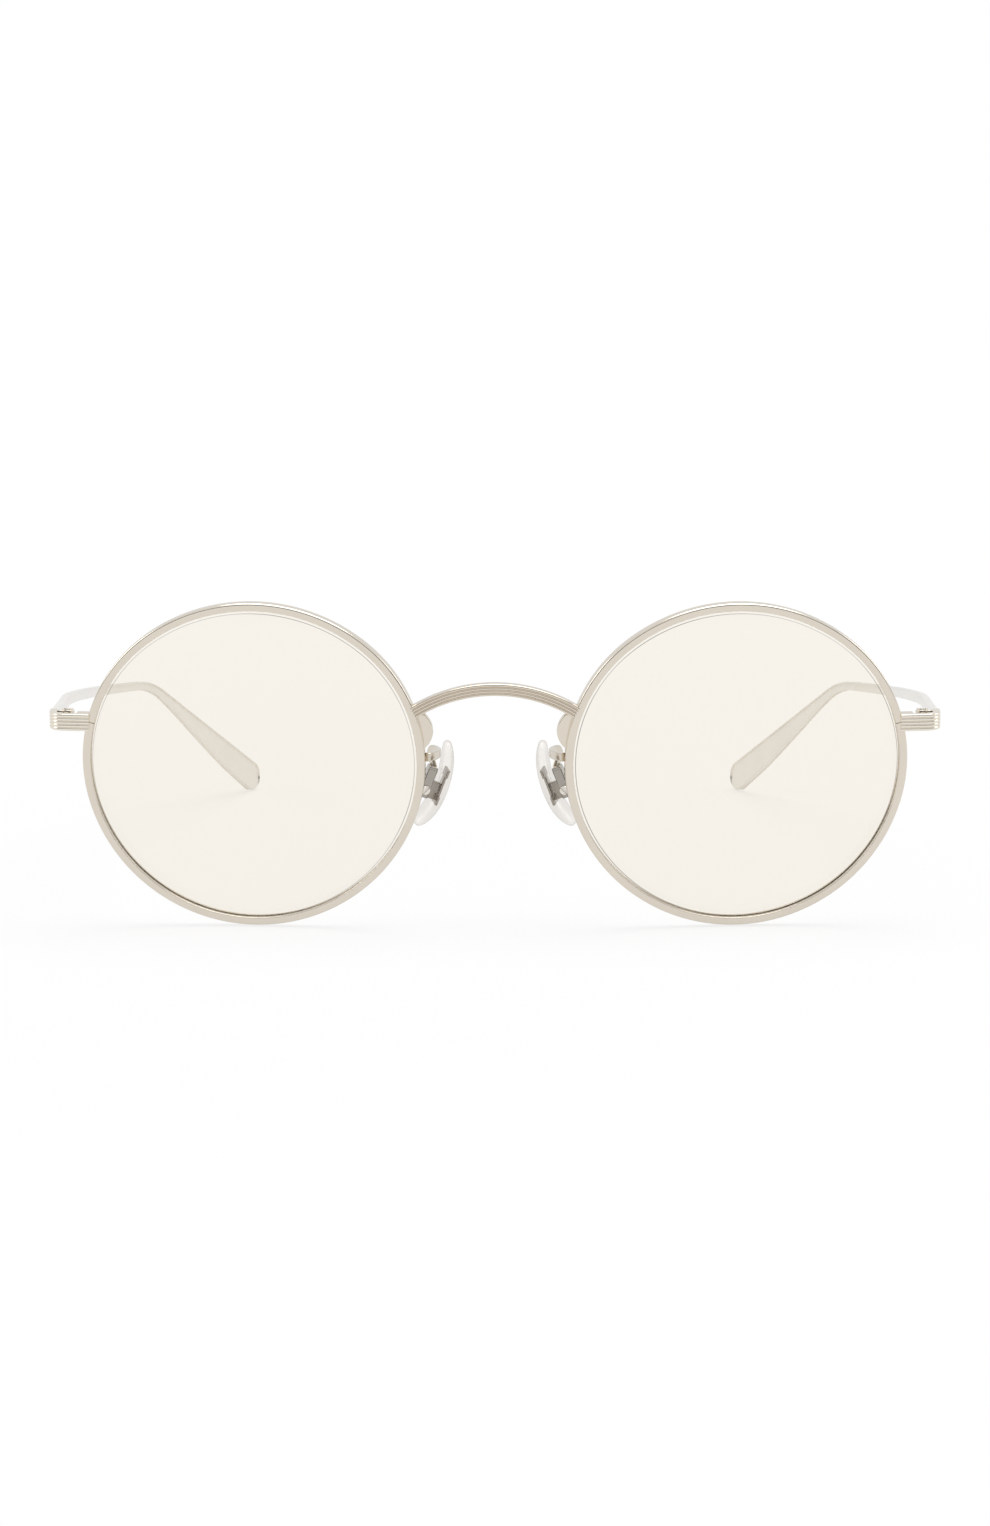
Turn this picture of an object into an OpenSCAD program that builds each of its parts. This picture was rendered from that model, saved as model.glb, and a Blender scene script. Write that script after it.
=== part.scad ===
// Round wire eyeglasses, temples open, standing on the rims and the temple tips.
// Millimetres. X to the wearer's left, Y from the front to the back, Z up, floor at Z = 0.

/* [Lenses and rims] */
// Width of a lens at its widest
lens_w = 49; // [45:0.5:54]
// How much wider than high a lens is, in steps of 0.22 mm
oval_steps = 9; // [4:1:12]
// Gap between the two lenses at their widest
lens_gap = 22; // [19:0.5:25]
// Rim wire seen from the front, across
rim_wall = 1.15; // [1:0.05:1.5]
// Rim wire from front to back
rim_depth = 2; // [1.8:0.1:2.6]
// How deep the lens sits in the rim groove
lens_bite = 0.35; // [0.25:0.05:0.45]
// Clearance round the lens edge in its groove
lens_fit = 0.05; // [0.02:0.01:0.08]
// Front radius of a lens
lens_curve = 130; // [110:5:160]
// Lens thickness at its centre
lens_t = 1.6; // [1.2:0.1:1.8]
// Angle by which the top of the front leans forward
lean = 5.7; // [3:0.1:8]
// Angle by which each rim is wrapped back at its outer side
wrap = 5; // [3:0.5:7]

/* [Bridge and end pieces] */
// Radius of the bridge arch at mid height
bridge_r = 22.45; // [20:0.05:26]
// Height of the top of the arch over the lens centres
bridge_top = 12.3; // [11:0.1:13.5]
// Bridge height as seen from the front
bridge_h = 1.8; // [1.4:0.1:2.2]
// Bridge front to back
bridge_d = 1.6; // [1.2:0.1:1.8]
// Height of the end pieces, which is also the hinge height
end_h = 2.5; // [2.2:0.1:3]
// Height of the middle of the end pieces over the lens centres
end_v = 5.55; // [4.5:0.05:7]
// Wall of the end pieces
end_t = 1.1; // [0.9:0.05:1.3]
// Outer corner radius of the end pieces
end_r = 2.4; // [2:0.1:2.8]
// Depth of the long grooves in the bridge and the end pieces
ridge_d = 0.14; // [0.08:0.02:0.2]

/* [Nose pads] */
// Length of a nose pad
pad_l = 13.4; // [12:0.1:15]
// Width of a nose pad at its broad lower end
pad_w = 6.8; // [6:0.1:7.6]
// Thickness of a nose pad
pad_t = 1.8; // [1.4:0.1:2.1]
// Radius a nose pad is curved to along its length
pad_curve = 14.8; // [13:0.2:20]
// Distance of the middle of a nose pad from the edge of its lens, towards the nose
pad_in = 3; // [2.75:0.05:3.25]
// Slope of a nose pad seen from the front
pad_slope = 21; // [18:1:24]
// Pad screw diameter
pad_screw_d = 0.8; // [0.7:0.05:0.9]

/* [Hinges] */
// Distance of a hinge axis outside the edge of its lens
hinge_out = 3; // [2.7:0.05:3.3]
// Hinge barrel diameter
barrel_d = 2; // [1.8:0.1:2.1]
// Hinge screw diameter
hinge_screw_d = 1.2; // [1:0.05:1.3]
// Radial running clearance of the moving hinge barrel and the nose pad lug
run_fit = 0.03; // [0.02:0.01:0.08]
// Gap between the end piece and the open temple
stop_gap = 0.06; // [0.04:0.02:0.12]

/* [Temples] */
// Hinge axis to the ear bend, along the temple
bend_at = 91.5; // [85:0.5:100]
// Outer radius of the ear bend
bend_r = 22; // [18:1:28]
// Angle of the ear bend, seen from the side
bend_a = 22.3; // [18:0.1:30]
// Length of the paddle behind the ear bend
paddle_l = 40; // [36:0.5:46]
// Height of the paddle near its end
paddle_h = 4.8; // [4:0.1:6]
// Thickness of a temple
temple_t = 1.2; // [1:0.1:1.3]
// Height of a temple just before the ear bend
neck_h = 1.4; // [1.2:0.1:1.8]
// Angle by which a temple leaves its hinge outward
splay = 2.5; // [1.5:0.5:3]
// Angle by which the paddle runs inward
inward = 21.5; // [18:0.5:24]

/* [Hidden] */

$fn = 96;
joint = 0.01;          // gap between two pieces that are brazed together
far = 40;              // half size of the blocks used only for cutting

// The lens outline is four arcs: flatter above and below, tighter at the sides. The arcs meet where
// the sine is 0.8 above and 0.28 below, so that every centre is a whole number of hundredths.
meet_top = [24, 32];
meet_low = [38.4, -11.2];
lens_pitch = lens_w + lens_gap;
side_c = 0.24 * oval_steps;
side_r = lens_w / 2 - side_c;
top_r = side_r + 0.4 * oval_steps;
low_r = side_r + 0.25 * oval_steps;
top_c = -0.32 * oval_steps;
low_c = 0.07 * oval_steps;

rim_out = rim_wall - lens_bite;
rim_low = low_r - low_c + rim_out;
front_h = rim_low * cos(lean);
front_y = -rim_low * sin(lean);
rim_edge = 0.15;       // bevel along the rim wire's edges
groove_half = 0.35;    // half width of the lens groove
rim_split = 0.06;      // half the gap where the rim closes round its lens
lens_edge_t = 1.4;     // thickness of a lens behind its bevel

// Bridge
bridge_c = bridge_top - bridge_h / 2 - bridge_r;
bridge_half = asin((lens_gap / 2 + 1.48) / bridge_r); // half the arch, before the rims cut its ends
bridge_ridges = 4;
bridge_fore = 2.05;    // how far the bridge front is ahead of the lens centres
foot_r = 3.4;
foot_x = lens_w / 2 - 1.5;
foot_v = 5;
foot_under = 0.05;     // gap below the bridge
foot_top = bridge_c + sqrt(pow(bridge_r - bridge_h / 2, 2) - pow(lens_gap / 2 + 0.45, 2)) - foot_under;
foot_back = 0.1;       // how far its back is in front of the back of the rim
foot_in = 1;           // part of the disc kept on the lens side of its centre
foot_t = 1;

// End pieces, in the frame of their rim
end_ridges = 5;
end_proud = 0.5;       // how far they stand in front of the rim face
end_lap = 0.4;         // how far they lap over the rim face
wire_x = side_c + sqrt(pow(side_r + rim_out, 2) - pow(end_v, 2));
end_beyond = 2.6;      // outer face of an end piece beyond its hinge axis
hinge_x = lens_pitch / 2 + lens_w / 2 + hinge_out;
end_outer = hinge_x + end_beyond;
end_leg = 4;           // leg that runs back, before the hinge gap cuts it
corner_x = (end_outer - end_r - lens_pitch / 2 + (end_r - end_proud) * sin(wrap)) / cos(wrap);

// Hinges and temples
hinge_y = 2.5;
hinge_lift = 0.35;     // the end pieces climb this much on their way back to the hinges
hinge_z = front_h + end_v * cos(lean) + hinge_lift;
barrel_half = end_h / 2;
middle_half = 0.5;
knuckle_gap = 0.05;
front_leaf = 1.15;     // leaf of the front knuckles, along the temple
plate_from = 0.1;      // leaf left beside the middle knuckle, from the barrel outward
knuckle_leaf = 1.6;
leaf_from = 1.3;       // long leaf soldered to the temple
leaf_l = 3.6;
leaf_half = 0.85;
leaf_off = 0.05;       // from the barrel to the leaf
hinge_head_r = 0.85;
hinge_head_h = 0.3;
hinge_slot_w = 0.24;
hinge_slot_d = 0.18;
temple_out = end_outer - hinge_x;
temple_in = temple_out - temple_t;
bar_h = end_h - 0.1;
bar_mid_h = 1.8;
bar_mid_at = 48;
curve_from = 45.5;     // where the inward curve of a temple begins, from the hinge
curve_r = (bend_at - 2 - curve_from) / (sin(splay) + sin(inward));
tip_r = paddle_h / 2;
tip_u = paddle_l - tip_r;
drop_y = bend_at + bend_r * sin(bend_a);
drop_z = bar_h / 2 - bend_r * (1 - cos(bend_a));
tip_y = drop_y + tip_u * cos(bend_a) - tip_r * sin(bend_a);
tip_z = drop_z - tip_u * sin(bend_a) - tip_r * cos(bend_a);
// The slope at which a temple tip just reaches the floor.
slope = asin((hinge_z - tip_r) / norm([tip_y, tip_z])) - atan2(-tip_z, tip_y);

// Nose pads: their own frame has its origin on the mid surface, X away from the nose, Z up the pad
pad_x = lens_gap / 2 - pad_in;
nose_y = front_y - lens_w / 2 * sin(wrap) * cos(lean); // front face of a rim beside the nose
pad_y = nose_y + 9.584;
pad_z = front_h - 4.55;
pad_splay = 8;
pad_top_r = 0.36 * pad_w;
lug_half = 0.52;
box_front = pad_t / 2 + 0.55;
box_back = box_front + 1.45;
box_half = 1.2;
box_top = 2.4;
box_low = -2.4;
cup_top = 0.95;
cup_gap = 0.1;
axis_x = box_front + 0.7;
axis_z = -1.2;
insert_t = 0.4;
insert_w = 3.8;
insert_l = 5.6;
insert_gap = 0.02;
lug_x = axis_x + 0.6;
lug_low = -2.3;
lug_top = 0.4;
pad_head_r = 0.68;
pad_head_h = 0.4;
pad_slot_w = 0.2;
pad_slot_d = 0.2;
arm_h = 1.3;
arm_t = 0.7;
arm_r = 7.3;
arm_x = lens_gap / 2 + 4.6;
arm_y = nose_y + 6.184;
arm_z = front_h + 0.9;
arm_from = 40;         // half turns of the arm's arc ahead of and behind its middle
arm_to = 28;
drop_x = arm_x - arm_r * cos(arm_to);
drop_t = arm_t - 0.05;
drop_l = 6;            // strip that runs down to the box, before the box cuts it
drop_over = 0.5;       // and how far it reaches past the end of the arc

// Rim locks: the two halves of the block that closes each rim, and their screw from below
lock_x = 1.65;
lock_from = end_t - end_proud + joint;
lock_d = 1.5;
lock_bite = 1;         // part of the block inside the rim, before the rim cuts it
lock_half = end_h / 2 - 0.05;
lock_screw_r = 0.4;
lock_screw_l = 1.7;
lock_head_r = 0.6;
lock_head_room = 0.02;
lock_head_z = 0.75;    // from the middle of the block down to the top of the head
lock_head_h = 0.39;
lock_slot_w = 0.18;
lock_slot_d = 0.24;

metal = [0.80, 0.76, 0.69];
dark = [0.42, 0.40, 0.37];
clear = [0.95, 0.94, 0.92];

// The front and back ends of the whole object, so that Y = 0 is halfway between them
y_front = front_y
  - norm([(lens_w / 2 + rim_out) * sin(wrap) * cos(lean), (top_r + top_c + rim_out) * sin(lean)]);
y_back = hinge_y + tip_y * cos(slope) + tip_z * sin(slope) + tip_r;
mid_y = (y_front + y_back) / 2;

// ---- frames ----

module row() {
  translate([0, -mid_y, 0]) children();
}

module front() {
  row() translate([0, front_y, front_h]) rotate([lean, 0, 0]) children();
}

module lens_place() {
  front() translate([lens_pitch / 2, 0, 0]) rotate([0, 0, wrap]) children();
}

module hinge_place() {
  row() translate([hinge_x, hinge_y, hinge_z]) rotate([-slope, 0, 0]) children();
}

module pad_place() {
  row() translate([pad_x, pad_y, pad_z]) rotate([0, -pad_slope, 0]) rotate([0, 0, -pad_splay])
    children();
}

// Turns a shape drawn flat so that it faces forward; its own depths run from 0 down to -depth.
module facing() {
  rotate([90, 0, 0]) children();
}

// ---- outline of the lenses ----

// One arc of the outline: a whole ring about (cx, cy), kept only inside a wedge from its centre.
module arc(r, cx, cy, wedge) {
  translate([cx, cy, 0]) intersection() {
    rotate_extrude($fn = 180) translate([r, 0]) children();
    translate([0, 0, -far]) linear_extrude(2 * far) polygon(concat([[0, 0]], wedge));
  }
}

module oval() {
  arc(top_r, 0, top_c, [meet_top, [0, 60], [-meet_top[0], meet_top[1]]]) children();
  arc(side_r, -side_c, 0, [[-meet_top[0], meet_top[1]], [-60, 10], [-meet_low[0], meet_low[1]]]) children();
  arc(low_r, 0, low_c, [[-meet_low[0], meet_low[1]], [-60, -60], [60, -60], meet_low]) children();
  arc(side_r, side_c, 0, [meet_low, [60, 10], meet_top]) children();
}

module rim_section() {
  mid = rim_depth / 2;
  polygon([[-lens_bite, -rim_edge], [-lens_bite + rim_edge, 0],
    [rim_out - rim_edge, 0], [rim_out, -rim_edge],
    [rim_out, rim_edge - rim_depth], [rim_out - rim_edge, -rim_depth],
    [rim_edge - lens_bite, -rim_depth], [-lens_bite, rim_edge - rim_depth],
    [-lens_bite, -mid - groove_half], [lens_fit, -mid - groove_half],
    [lens_fit, groove_half - mid], [-lens_bite, groove_half - mid]]);
}

// Points round the lens outline, off millimetres outside it.
function round_arc(r, cx, cy, from, to, n) =
  [for (i = [0 : n - 1]) let (a = from + (to - from) * i / n) [cx + r * cos(a), cy + r * sin(a)]];

function outline(off) =
  let (a = atan2(meet_top[1], meet_top[0]), b = atan2(meet_low[1], meet_low[0]))
  concat(round_arc(side_r + off, side_c, 0, b, a, 16),
    round_arc(top_r + off, 0, top_c, a, 180 - a, 16),
    round_arc(side_r + off, -side_c, 0, 180 - a, 180 - b, 16),
    round_arc(low_r + off, 0, low_c, 180 - b, 360 + b, 32));

// Everything inside the outer edge of the rim at one side, to cut neighbours that touch it.
module rim_side(sign) {
  facing() translate([sign * side_c, 0, -far]) cylinder(r = side_r + rim_out + joint, h = 2 * far, $fn = 180);
}

// ---- front ----

module rim_shape() {
  lens_place() difference() {
    facing() oval() rim_section();
    translate([side_c + side_r - 3, -1, end_v - rim_split]) cube([6, rim_depth + 2, 2 * rim_split]);
  }
}

module lens_shape() {
  edge_sag = lens_curve - sqrt(pow(lens_curve, 2) - pow(lens_w / 2, 2));
  face = (rim_depth - lens_edge_t) / 2 - edge_sag;
  back = lens_curve * 0.985;
  tongue = groove_half - lens_fit;
  lens_place() facing() intersection() {
    union() {
      translate([0, 0, -far / 8]) linear_extrude(far / 4) polygon(outline(-lens_bite - lens_fit));
      translate([0, 0, -rim_depth / 2 - tongue]) linear_extrude(2 * tongue) polygon(outline(0));
    }
    difference() {
      translate([0, 0, -face - lens_curve]) sphere(r = lens_curve, $fn = 180);
      translate([0, 0, -face - lens_t - back]) sphere(r = back, $fn = 180);
    }
  }
}

// A bar's section with long grooves in its face: the face is at y = 0, the bar is below it.
module ridged(h, t, ridges) {
  step = h / ridges;
  face = [for (i = [1 : ridges - 1]) for (j = [-1 : 1])
    [i * step - h / 2 + j * ridge_d, j == 0 ? -ridge_d : 0]];
  polygon(concat([[-h / 2, -t], [-h / 2, -ridge_d], [ridge_d - h / 2, 0]], face,
    [[h / 2 - ridge_d, 0], [h / 2, -ridge_d], [h / 2, -t]]));
}

module bridge_shape() {
  difference() {
    front() translate([0, -bridge_fore, bridge_c]) facing() rotate([0, 0, 90 - bridge_half])
      rotate_extrude(angle = 2 * bridge_half, $fn = 180) translate([bridge_r, 0])
      ridged(bridge_h, bridge_d, bridge_ridges);
    lens_place() rim_side(-1);
    mirror([1, 0, 0]) lens_place() rim_side(-1);
  }
}

module foot_shape() {
  lens_place() difference() {
    translate([-foot_x, rim_depth - foot_back, foot_v]) facing() cylinder(r = foot_r, h = foot_t);
    rim_side(-1);
    translate([-far - foot_x, -far, foot_top]) cube(2 * far);
    translate([foot_in - foot_x, -far, -far]) cube(2 * far);
  }
}

module end_shape() {
  turn = 90 - wrap;
  difference() {
    lens_place() difference() {
      translate([0, -end_proud, end_v]) union() {
        translate([wire_x - end_lap, 0, 0]) rotate([90, 0, 90])
          linear_extrude(corner_x - wire_x + end_lap) rotate([0, 0, 90])
          ridged(end_h, end_t, end_ridges);
        translate([corner_x, end_r, 0]) rotate([0, 0, -90]) rotate_extrude(angle = turn)
          translate([end_r, 0]) rotate([0, 0, -90]) ridged(end_h, end_t, end_ridges);
        translate([corner_x, end_r, 0]) rotate([0, 0, turn]) translate([0, -end_r, 0])
          rotate([90, 0, 90]) linear_extrude(end_leg) rotate([0, 0, 90]) ridged(end_h, end_t, end_ridges);
      }
      intersection() {
        rim_side(1);
        translate([0, -joint, -far]) cube(2 * far);
      }
    }
    hinge_place() translate([-far, -stop_gap / 2, -far]) cube(2 * far);
  }
}

module lock_screw_at() {
  lens_place() translate([wire_x + lock_x / 2 + 0.05, lock_from + lock_d / 2, end_v]) children();
}

module lock_shape(up) {
  low = up ? rim_split : -lock_half;
  difference() {
    lens_place() difference() {
      translate([wire_x - lock_bite, lock_from, end_v + low])
        cube([lock_x + lock_bite, lock_d, lock_half - rim_split]);
      rim_side(1);
    }
    lock_screw_at() translate([0, 0, -far]) cylinder(r = lock_screw_r + joint, h = 2 * far, $fn = 48);
    if (!up) lock_screw_at() translate([0, 0, -far])
      cylinder(r = lock_head_r + lock_head_room, h = far - lock_head_z, $fn = 48);
  }
}

module lock_screw_shape() {
  low = -lock_head_z - joint - lock_head_h;
  lock_screw_at() difference() {
    union() {
      translate([0, 0, low + lock_head_h / 2])
        cylinder(r = lock_screw_r, h = lock_screw_l + lock_head_h / 2, $fn = 48);
      translate([0, 0, low]) cylinder(r = lock_head_r, h = lock_head_h, $fn = 48);
    }
    translate([-1, -lock_slot_w / 2, low - 1]) cube([2, lock_slot_w, 1 + lock_slot_d]);
  }
}

// ---- hinges ----

module hinge_front_shape() {
  plate = barrel_d / 2 + plate_from;
  inner = end_outer - end_t - hinge_x - joint;
  hinge_place() difference() {
    union() {
      translate([0, 0, -barrel_half]) cylinder(d = barrel_d, h = 2 * barrel_half);
      translate([0, -front_leaf, -barrel_half]) cube([inner, front_leaf - stop_gap / 2, 2 * barrel_half]);
    }
    translate([-far, -far, -middle_half - knuckle_gap])
      cube([far + plate, 2 * far, 2 * (middle_half + knuckle_gap)]);
    translate([0, 0, -far]) cylinder(d = hinge_screw_d + 2 * joint, h = 2 * far);
  }
}

module hinge_temple_shape() {
  leaf_x = barrel_d / 2 + leaf_off;
  hinge_place() difference() {
    union() {
      translate([0, 0, -middle_half]) cylinder(d = barrel_d, h = 2 * middle_half);
      translate([0, stop_gap / 2, -middle_half]) cube([temple_in - joint, knuckle_leaf, 2 * middle_half]);
      translate([leaf_x, leaf_from, -leaf_half]) cube([temple_in - joint - leaf_x, leaf_l, 2 * leaf_half]);
    }
    translate([0, 0, -far]) cylinder(d = hinge_screw_d + 2 * run_fit, h = 2 * far);
    translate([temple_in, stop_gap / 2, -far]) rotate([0, 0, -splay]) translate([-joint, -far, 0])
      cube(2 * far);
  }
}

module hinge_screw_shape() {
  top = barrel_half + joint + hinge_head_h;
  hinge_place() difference() {
    union() {
      translate([0, 0, -barrel_half]) cylinder(d = hinge_screw_d, h = barrel_half + top - hinge_head_h / 2);
      translate([0, 0, top - hinge_head_h]) cylinder(r = hinge_head_r, h = hinge_head_h);
    }
    translate([-2, -hinge_slot_w / 2, top - hinge_slot_d]) cube([4, hinge_slot_w, 1]);
  }
}

// ---- temples ----

// Points round an arc about (cx, cy), from one heading to another, clockwise from straight up.
function bow(cx, cy, r, from, to, n) =
  [for (i = [0 : n]) let (a = from + (to - from) * i / n) [cx + r * sin(a), cy + r * cos(a)]];

function flip(list) = [for (i = [len(list) - 1 : -1 : 0]) list[i]];

// One side of a temple seen from above, from its hinge to past its tip, off millimetres in from the
// outer face.
function temple_line(off) =
  let (r = curve_r - off, run = 3 * far, turn = splay + inward)
  concat([[-off, -1]], [for (p = bow(-curve_r, curve_from, r, 90, 90 - turn, 24)) p],
    [[-curve_r + r * cos(turn) - run * sin(turn), curve_from + r * sin(turn) + run * cos(turn)]]);

// The temple seen from above, as a wall of full height.
module temple_plan() {
  translate([temple_out, stop_gap / 2, -2 * far]) rotate([0, 0, -splay]) linear_extrude(4 * far)
    polygon(concat(temple_line(0), flip(temple_line(temple_t))));
}

function drop_point(u, w) =
  [drop_y + u * cos(bend_a) - w * sin(bend_a), drop_z - u * sin(bend_a) - w * cos(bend_a)];

// The temple seen from the side: along it, and up.
module temple_side() {
  top = bar_h / 2;
  tip = [for (i = [0 : 18]) drop_point(tip_u + tip_r * sin(10 * i), tip_r - tip_r * cos(10 * i))];
  under = [[0.68, 0.9], [0.36, 0.6]];
  polygon(concat([[stop_gap / 2, -top], [stop_gap / 2, top]],
    bow(bend_at, top - bend_r, bend_r, 0, bend_a, 12), tip,
    [for (p = under) drop_point(p[0] * paddle_l, p[1] * paddle_h)],
    [drop_point(paddle_l * 0.1, neck_h * 1.15)],
    bow(bend_at, top - bend_r, bend_r - neck_h, bend_a, 0, 12), [[bar_mid_at, top - bar_mid_h]]));
}

module temple_shape() {
  hinge_place() intersection() {
    temple_plan();
    rotate([90, 0, 90]) translate([0, 0, -far]) linear_extrude(2 * far) temple_side();
  }
}

// ---- nose pads ----

module screw_hole(r) {
  translate([axis_x, 0, axis_z]) rotate([90, 0, 0]) translate([0, 0, -far])
    cylinder(r = r, h = 2 * far, $fn = 48);
}

module pad_arm_shape() {
  difference() {
    row() union() {
      translate([arm_x, arm_y, arm_z - arm_h / 2]) rotate([0, 0, 180 - arm_to])
        rotate_extrude(angle = arm_to + arm_from, $fn = 180)
        translate([arm_r - arm_t / 2, 0]) square([arm_t, arm_h]);
      translate([drop_x, arm_y + arm_r * sin(arm_to), arm_z + arm_h / 2 - drop_l]) rotate([0, 0, -arm_to])
        translate([-drop_t / 2, -arm_h, 0]) cube([drop_t, arm_h + drop_over, drop_l - joint]);
    }
    lens_place() rim_side(-1);
    pad_place() translate([-far, -far, box_top + joint - 2 * far]) cube(2 * far);
  }
}

module pad_box_shape() {
  cup = lug_half + cup_gap;
  pad_place() difference() {
    translate([box_front, -box_half, box_low]) cube([box_back - box_front, 2 * box_half, box_top - box_low]);
    translate([0, -cup, -far + cup_top]) cube([far, 2 * cup, far]);
    screw_hole(pad_screw_d / 2 + joint);
  }
}

module pad_screw_shape() {
  top = box_half + joint + pad_head_h;
  pad_place() translate([axis_x, 0, axis_z]) rotate([90, 0, 0]) difference() {
    union() {
      translate([0, 0, -box_half]) cylinder(d = pad_screw_d, h = box_half + top - pad_head_h / 2, $fn = 48);
      translate([0, 0, top - pad_head_h]) cylinder(r = pad_head_r, h = pad_head_h, $fn = 48);
    }
    translate([-1, -pad_slot_w / 2, top - pad_slot_d]) cube([2, pad_slot_w, 1]);
  }
}

module lug(gap) {
  translate([0, -lug_half - gap, lug_low - gap])
    cube([lug_x, 2 * (lug_half + gap), lug_top - lug_low + 2 * gap]);
}

module insert_shape() {
  pad_place() difference() {
    union() {
      translate([-insert_t / 2, -insert_w / 2, -insert_l / 2]) cube([insert_t, insert_w, insert_l]);
      lug(0);
    }
    screw_hole(pad_screw_d / 2 + run_fit);
  }
}

module nose_pad_shape() {
  low_r = pad_w / 2;
  gap = insert_gap;
  pad_place() difference() {
    intersection() {
      rotate([90, 0, 90]) translate([0, 0, -2]) linear_extrude(6) hull() {
        translate([0, low_r - pad_l / 2]) circle(r = low_r, $fn = 64);
        translate([0, pad_l / 2 - pad_top_r]) circle(r = pad_top_r, $fn = 64);
      }
      translate([pad_curve, 0, 0]) rotate([90, 0, 0]) difference() {
        translate([0, 0, -far]) cylinder(r = pad_curve + pad_t / 2, h = 2 * far, $fn = 180);
        translate([0, 0, -far]) cylinder(r = pad_curve - pad_t / 2, h = 2 * far, $fn = 180);
      }
    }
    translate([-insert_t / 2 - gap, -insert_w / 2 - gap, -insert_l / 2 - gap])
      cube([insert_t + 2 * gap, insert_w + 2 * gap, insert_l + 2 * gap]);
    lug(gap);
  }
}

// ---- nodes ----

module other() {
  mirror([1, 0, 0]) children();
}

module rim_left() color(metal) rim_shape();
module rim_right() color(metal) other() rim_shape();
module lens_left() color(clear, 0.4) lens_shape();
module lens_right() color(clear, 0.4) other() lens_shape();
module bridge() color(metal) bridge_shape();
module bridge_foot_left() color(metal) foot_shape();
module bridge_foot_right() color(metal) other() foot_shape();
module pad_arm_left() color(metal) pad_arm_shape();
module pad_arm_right() color(metal) other() pad_arm_shape();
module pad_box_left() color(dark) pad_box_shape();
module pad_box_right() color(dark) other() pad_box_shape();
module pad_screw_left() color(metal) pad_screw_shape();
module pad_screw_right() color(metal) other() pad_screw_shape();
module nose_pad_left() color(clear, 0.5) nose_pad_shape();
module nose_pad_right() color(clear, 0.5) other() nose_pad_shape();
module pad_insert_left() color(dark) insert_shape();
module pad_insert_right() color(dark) other() insert_shape();
module end_piece_left() color(metal) end_shape();
module end_piece_right() color(metal) other() end_shape();
module rim_lock_upper_left() color(metal) lock_shape(true);
module rim_lock_upper_right() color(metal) other() lock_shape(true);
module rim_lock_lower_left() color(metal) lock_shape(false);
module rim_lock_lower_right() color(metal) other() lock_shape(false);
module rim_lock_screw_left() color(dark) lock_screw_shape();
module rim_lock_screw_right() color(dark) other() lock_screw_shape();
module hinge_front_left() color(metal) hinge_front_shape();
module hinge_front_right() color(metal) other() hinge_front_shape();
module hinge_temple_left() color(metal) hinge_temple_shape();
module hinge_temple_right() color(metal) other() hinge_temple_shape();
module hinge_screw_left() color(dark) hinge_screw_shape();
module hinge_screw_right() color(dark) other() hinge_screw_shape();
module temple_left() color(metal) temple_shape();
module temple_right() color(metal) other() temple_shape();

rim_right();
rim_left();
lens_right();
lens_left();
bridge();
bridge_foot_right();
bridge_foot_left();
pad_arm_right();
pad_arm_left();
pad_box_right();
pad_box_left();
pad_screw_right();
pad_screw_left();
nose_pad_right();
nose_pad_left();
pad_insert_right();
pad_insert_left();
end_piece_right();
end_piece_left();
rim_lock_upper_right();
rim_lock_upper_left();
rim_lock_lower_right();
rim_lock_lower_left();
rim_lock_screw_right();
rim_lock_screw_left();
hinge_front_right();
hinge_front_left();
hinge_temple_right();
hinge_temple_left();
hinge_screw_right();
hinge_screw_left();
temple_right();
temple_left();
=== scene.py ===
import math

import bmesh
import bpy
import numpy as np
from mathutils import Matrix


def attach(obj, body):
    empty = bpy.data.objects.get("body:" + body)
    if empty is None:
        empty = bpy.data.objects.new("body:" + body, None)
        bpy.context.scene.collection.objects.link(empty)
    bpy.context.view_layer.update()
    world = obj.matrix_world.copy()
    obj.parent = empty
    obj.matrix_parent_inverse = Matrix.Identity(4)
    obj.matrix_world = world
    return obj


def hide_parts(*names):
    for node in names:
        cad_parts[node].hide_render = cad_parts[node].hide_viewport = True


# Lengths below are millimetres in the glasses' own frame and become metres when a mesh is made.
# Wearer's left is +X, the temples run to +Y, the rims and the temple tips stand on z = 0.

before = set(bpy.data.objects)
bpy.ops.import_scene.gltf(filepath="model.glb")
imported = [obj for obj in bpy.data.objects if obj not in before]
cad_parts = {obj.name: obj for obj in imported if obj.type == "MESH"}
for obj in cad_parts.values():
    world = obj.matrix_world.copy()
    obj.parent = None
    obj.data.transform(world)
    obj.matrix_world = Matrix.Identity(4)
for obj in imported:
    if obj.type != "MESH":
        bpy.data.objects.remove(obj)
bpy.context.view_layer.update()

mm = 0.001
rad = math.radians

# Where the front, the hinges and the pads sit; change these only with the solids.
placing = {
    "midY": 65.520356,
    "frontY": -2.459200,
    "frontH": 24.637576,
    "lean": 5.7,
    "wrap": 5.0,
    "lensPitch": 71.0,
    "hinge": (63.0, 2.5, 30.510134),
    "slope": 4.820097,
    "pad": (8.0, 5.0, 20.087576),
    "padSlope": 21.0,
    "padSplay": 8.0,
}


def turn(p, axis, degrees):
    # The two other coordinates turn by the right-hand rule: a' = a cos - b sin, b' = a sin + b cos.
    a, b = {"x": (1, 2), "y": (2, 0), "z": (0, 1)}[axis]
    c, s = math.cos(rad(degrees)), math.sin(rad(degrees))
    q = np.array(p, float)
    q[..., a], q[..., b] = p[..., a] * c - p[..., b] * s, p[..., a] * s + p[..., b] * c
    return q


def inRow(p):
    # From the source's row, front at y = 0, to the shared frame: y - midY.
    return p - np.array([0, placing["midY"], 0])


def inFront(p):
    # Tilts the front by its lean, then sets it at its height over the floor.
    q = turn(p, "x", placing["lean"])
    return inRow(q + np.array([0, placing["frontY"], placing["frontH"]]))


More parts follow.
